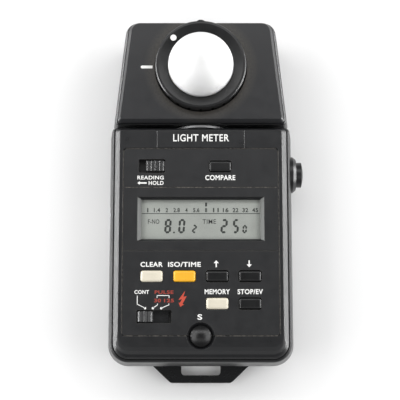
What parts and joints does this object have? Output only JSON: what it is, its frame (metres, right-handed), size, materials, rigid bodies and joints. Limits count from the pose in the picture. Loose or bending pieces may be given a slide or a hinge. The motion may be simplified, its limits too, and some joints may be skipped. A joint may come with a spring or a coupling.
{
  "type": "handheld light meter",
  "caption": "Pocket exposure meter with a swivelling head, turning white dome diffuser, small display, push keys, slide switches and a strap lug.",
  "frame": {"origin": "on the back plane of the case, on the swivel axis's line and at about half the overall length", "axes": "lying on its back: +Z out of the front face, +Y towards the swivel head, +X to the right seen from the front"},
  "size_m": [0.0692, 0.1281, 0.0386],
  "materials": {
    "case_black": "fine spark-eroded texture",
    "panel_black": "fine texture",
    "knob_black": "satin",
    "key_black": "satin",
    "key_cream": "satin",
    "key_orange": "satin",
    "button_gloss": "polished",
    "rubber_grey": "matt",
    "switch_grey": "matt",
    "white_plastic": "matt",
    "opal_white": "opal, satin",
    "plate_grey": "satin",
    "steel": "plated",
    "cell_steel": "plated",
    "alloy": "turned",
    "collar_satin": "satin anodised",
    "brass": "plated",
    "board_green": "lacquered",
    "chip_black": "moulded",
    "lead_grey": "matt",
    "lcd_grey": "satin polariser",
    "reflector": "matt",
    "photocell": "glossy",
    "clear_pane": "clear, polished",
    "filter_glass": "polished"
  },
  "bodies": {
    "body": {"front_case": "case_black", "rear_case": "case_black", "strap_lug": "case_black", "control_panel": "panel_black", "case_screws": "steel", "data_plate": "plate_grey", "key_mat": "rubber_grey", "measuring_button_collar": "knob_black", "mode_switch": "switch_grey", "lock_switch": "switch_grey", "measuring_switch": "switch_grey", "lead_socket": "switch_grey", "memory_spring": "steel", "measuring_button_spring": "steel", "battery_spring": "steel", "battery_contact": "steel", "click_spring": "steel", "swivel_bush": "collar_satin", "sync_shell": "alloy", "sync_contact": "brass", "sync_insulator": "white_plastic", "main_board": "board_green", "board_chips": "chip_black", "battery": "cell_steel", "lcd_window": "clear_pane", "lcd_glass": "lcd_grey", "lcd_reflector": "reflector", "lcd_frame": "switch_grey", "zebra_strips": "rubber_grey"},
    "head": {"head_front_case": "case_black", "head_rear_case": "case_black", "head_screws": "steel", "swivel_tube": "alloy", "click_disc": "steel", "wave_washer": "steel", "retaining_ring": "steel", "bayonet_mount": "alloy", "cell_holder": "switch_grey", "cell_filter": "filter_glass", "photocell": "photocell", "head_board": "board_green", "head_lead": "lead_grey"},
    "diffuser": {"diffuser_ring": "knob_black", "spherical_diffuser": "opal_white"},
    "mode_selector": {"mode_knob": "knob_black"},
    "measure_lock": {"lock_knob": "knob_black"},
    "memory_key": {"memory_button": "button_gloss"},
    "measuring_key": {"measuring_button": "knob_black"},
    "battery_door": {"battery_cover": "case_black"},
    "clear_key": {"clear_key": "key_cream"},
    "time_key": {"time_key": "key_orange"},
    "up_key": {"up_key": "key_black"},
    "down_key": {"down_key": "key_black"},
    "recall_key": {"recall_key": "key_cream"},
    "value_key": {"value_key": "key_black"},
    "average_key": {"average_key": "key_black"}
  },
  "joints": [
    {"name": "head_swivel", "type": "hinge", "parent": "body", "child": "head", "pos_m": [0, 0.0252, 0.01225], "axis": [0, 1, 0], "range_deg": [-90, 180]},
    {"name": "diffuser_turn", "type": "hinge", "parent": "head", "child": "diffuser", "pos_m": [0, 0.0467, 0.0218], "axis": [0, 0, 1], "range_deg": [0, 45]},
    {"name": "mode_slide", "type": "slide", "parent": "body", "child": "mode_selector", "axis": [1, 0, 0], "range_m": [0, 0.0056]},
    {"name": "lock_slide", "type": "slide", "parent": "body", "child": "measure_lock", "axis": [-1, 0, 0], "range_m": [0, 0.0024]},
    {"name": "battery_door_slide", "type": "slide", "parent": "body", "child": "battery_door", "axis": [0, -1, 0], "range_m": [0, 0.022]},
    {"name": "memory_press", "type": "slide", "parent": "body", "child": "memory_key", "axis": [0, 0, -1], "range_m": [0, 0.0012], "stiffness_N_per_m": 400, "deforming": ["memory_spring"]},
    {"name": "measuring_press", "type": "slide", "parent": "body", "child": "measuring_key", "axis": [-1, 0, 0], "range_m": [0, 0.0015], "stiffness_N_per_m": 400, "deforming": ["measuring_button_spring"]},
    {"name": "clear_press", "type": "slide", "parent": "body", "child": "clear_key", "axis": [0, 0, -1], "range_m": [0, 0.001], "stiffness_N_per_m": 300},
    {"name": "time_press", "type": "slide", "parent": "body", "child": "time_key", "axis": [0, 0, -1], "range_m": [0, 0.001], "stiffness_N_per_m": 300},
    {"name": "up_press", "type": "slide", "parent": "body", "child": "up_key", "axis": [0, 0, -1], "range_m": [0, 0.001], "stiffness_N_per_m": 300},
    {"name": "down_press", "type": "slide", "parent": "body", "child": "down_key", "axis": [0, 0, -1], "range_m": [0, 0.001], "stiffness_N_per_m": 300},
    {"name": "recall_press", "type": "slide", "parent": "body", "child": "recall_key", "axis": [0, 0, -1], "range_m": [0, 0.001], "stiffness_N_per_m": 300},
    {"name": "value_press", "type": "slide", "parent": "body", "child": "value_key", "axis": [0, 0, -1], "range_m": [0, 0.001], "stiffness_N_per_m": 300},
    {"name": "average_press", "type": "slide", "parent": "body", "child": "average_key", "axis": [0, 0, -1], "range_m": [0, 0.001], "stiffness_N_per_m": 300}
  ]
}
